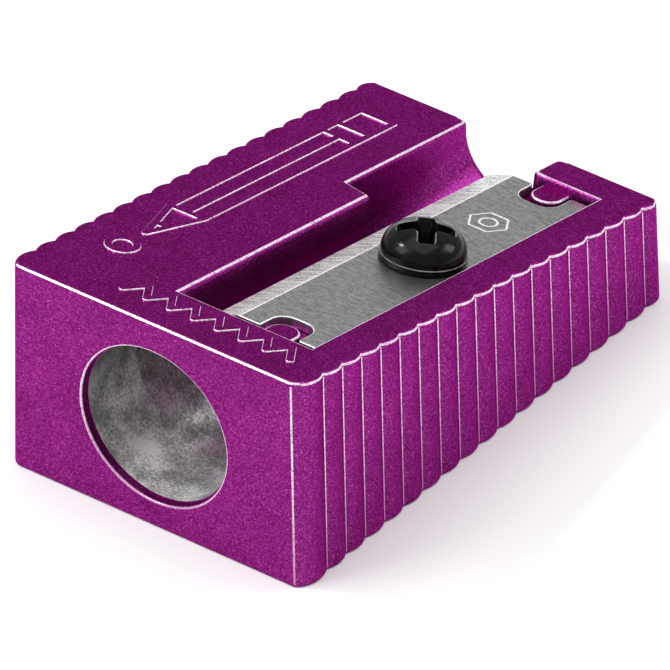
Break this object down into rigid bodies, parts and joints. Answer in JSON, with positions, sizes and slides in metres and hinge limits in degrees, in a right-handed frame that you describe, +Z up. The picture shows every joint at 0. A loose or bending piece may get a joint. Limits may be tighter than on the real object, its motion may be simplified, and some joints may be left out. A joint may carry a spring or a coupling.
{
  "type": "pencil sharpener",
  "caption": "Wedge-shaped hand pencil sharpener: ribbed cast body, bevelled blade on a sloping seat, and the screw that clamps it.",
  "frame": {"origin": "middle of the flat base, under the centre of the bounding box", "axes": "+Y from the pencil mouth to the low end, +X towards the blade's side, +Z up"},
  "size_m": [0.0174, 0.0286, 0.0115],
  "materials": {
    "body_lacquer": "purple metallic lacquer, satin gloss",
    "blade_steel": "ground satin steel with a brighter bevel",
    "screw_black": "glossy black oxide"
  },
  "bodies": {
    "body": {"body": "body_lacquer"},
    "blade": {"blade": "blade_steel"},
    "screw": {"screw": "screw_black"}
  },
  "joints": [
    {"name": "blade_lift", "type": "slide", "parent": "body", "child": "blade", "axis": [0, 0.2048, 0.9788], "range_m": [0, 0.0036]},
    {"name": "screw_turn", "type": "hinge", "parent": "blade", "child": "screw", "pos_m": [0.00405, 0.00141, 0.00825], "axis": [0, 0.2048, 0.9788], "range_deg": [0, 2881]}
  ],
  "couplings": [
    {"joint": "screw_turn", "follows": "blade_lift", "rad_per_m": 13963}
  ]
}
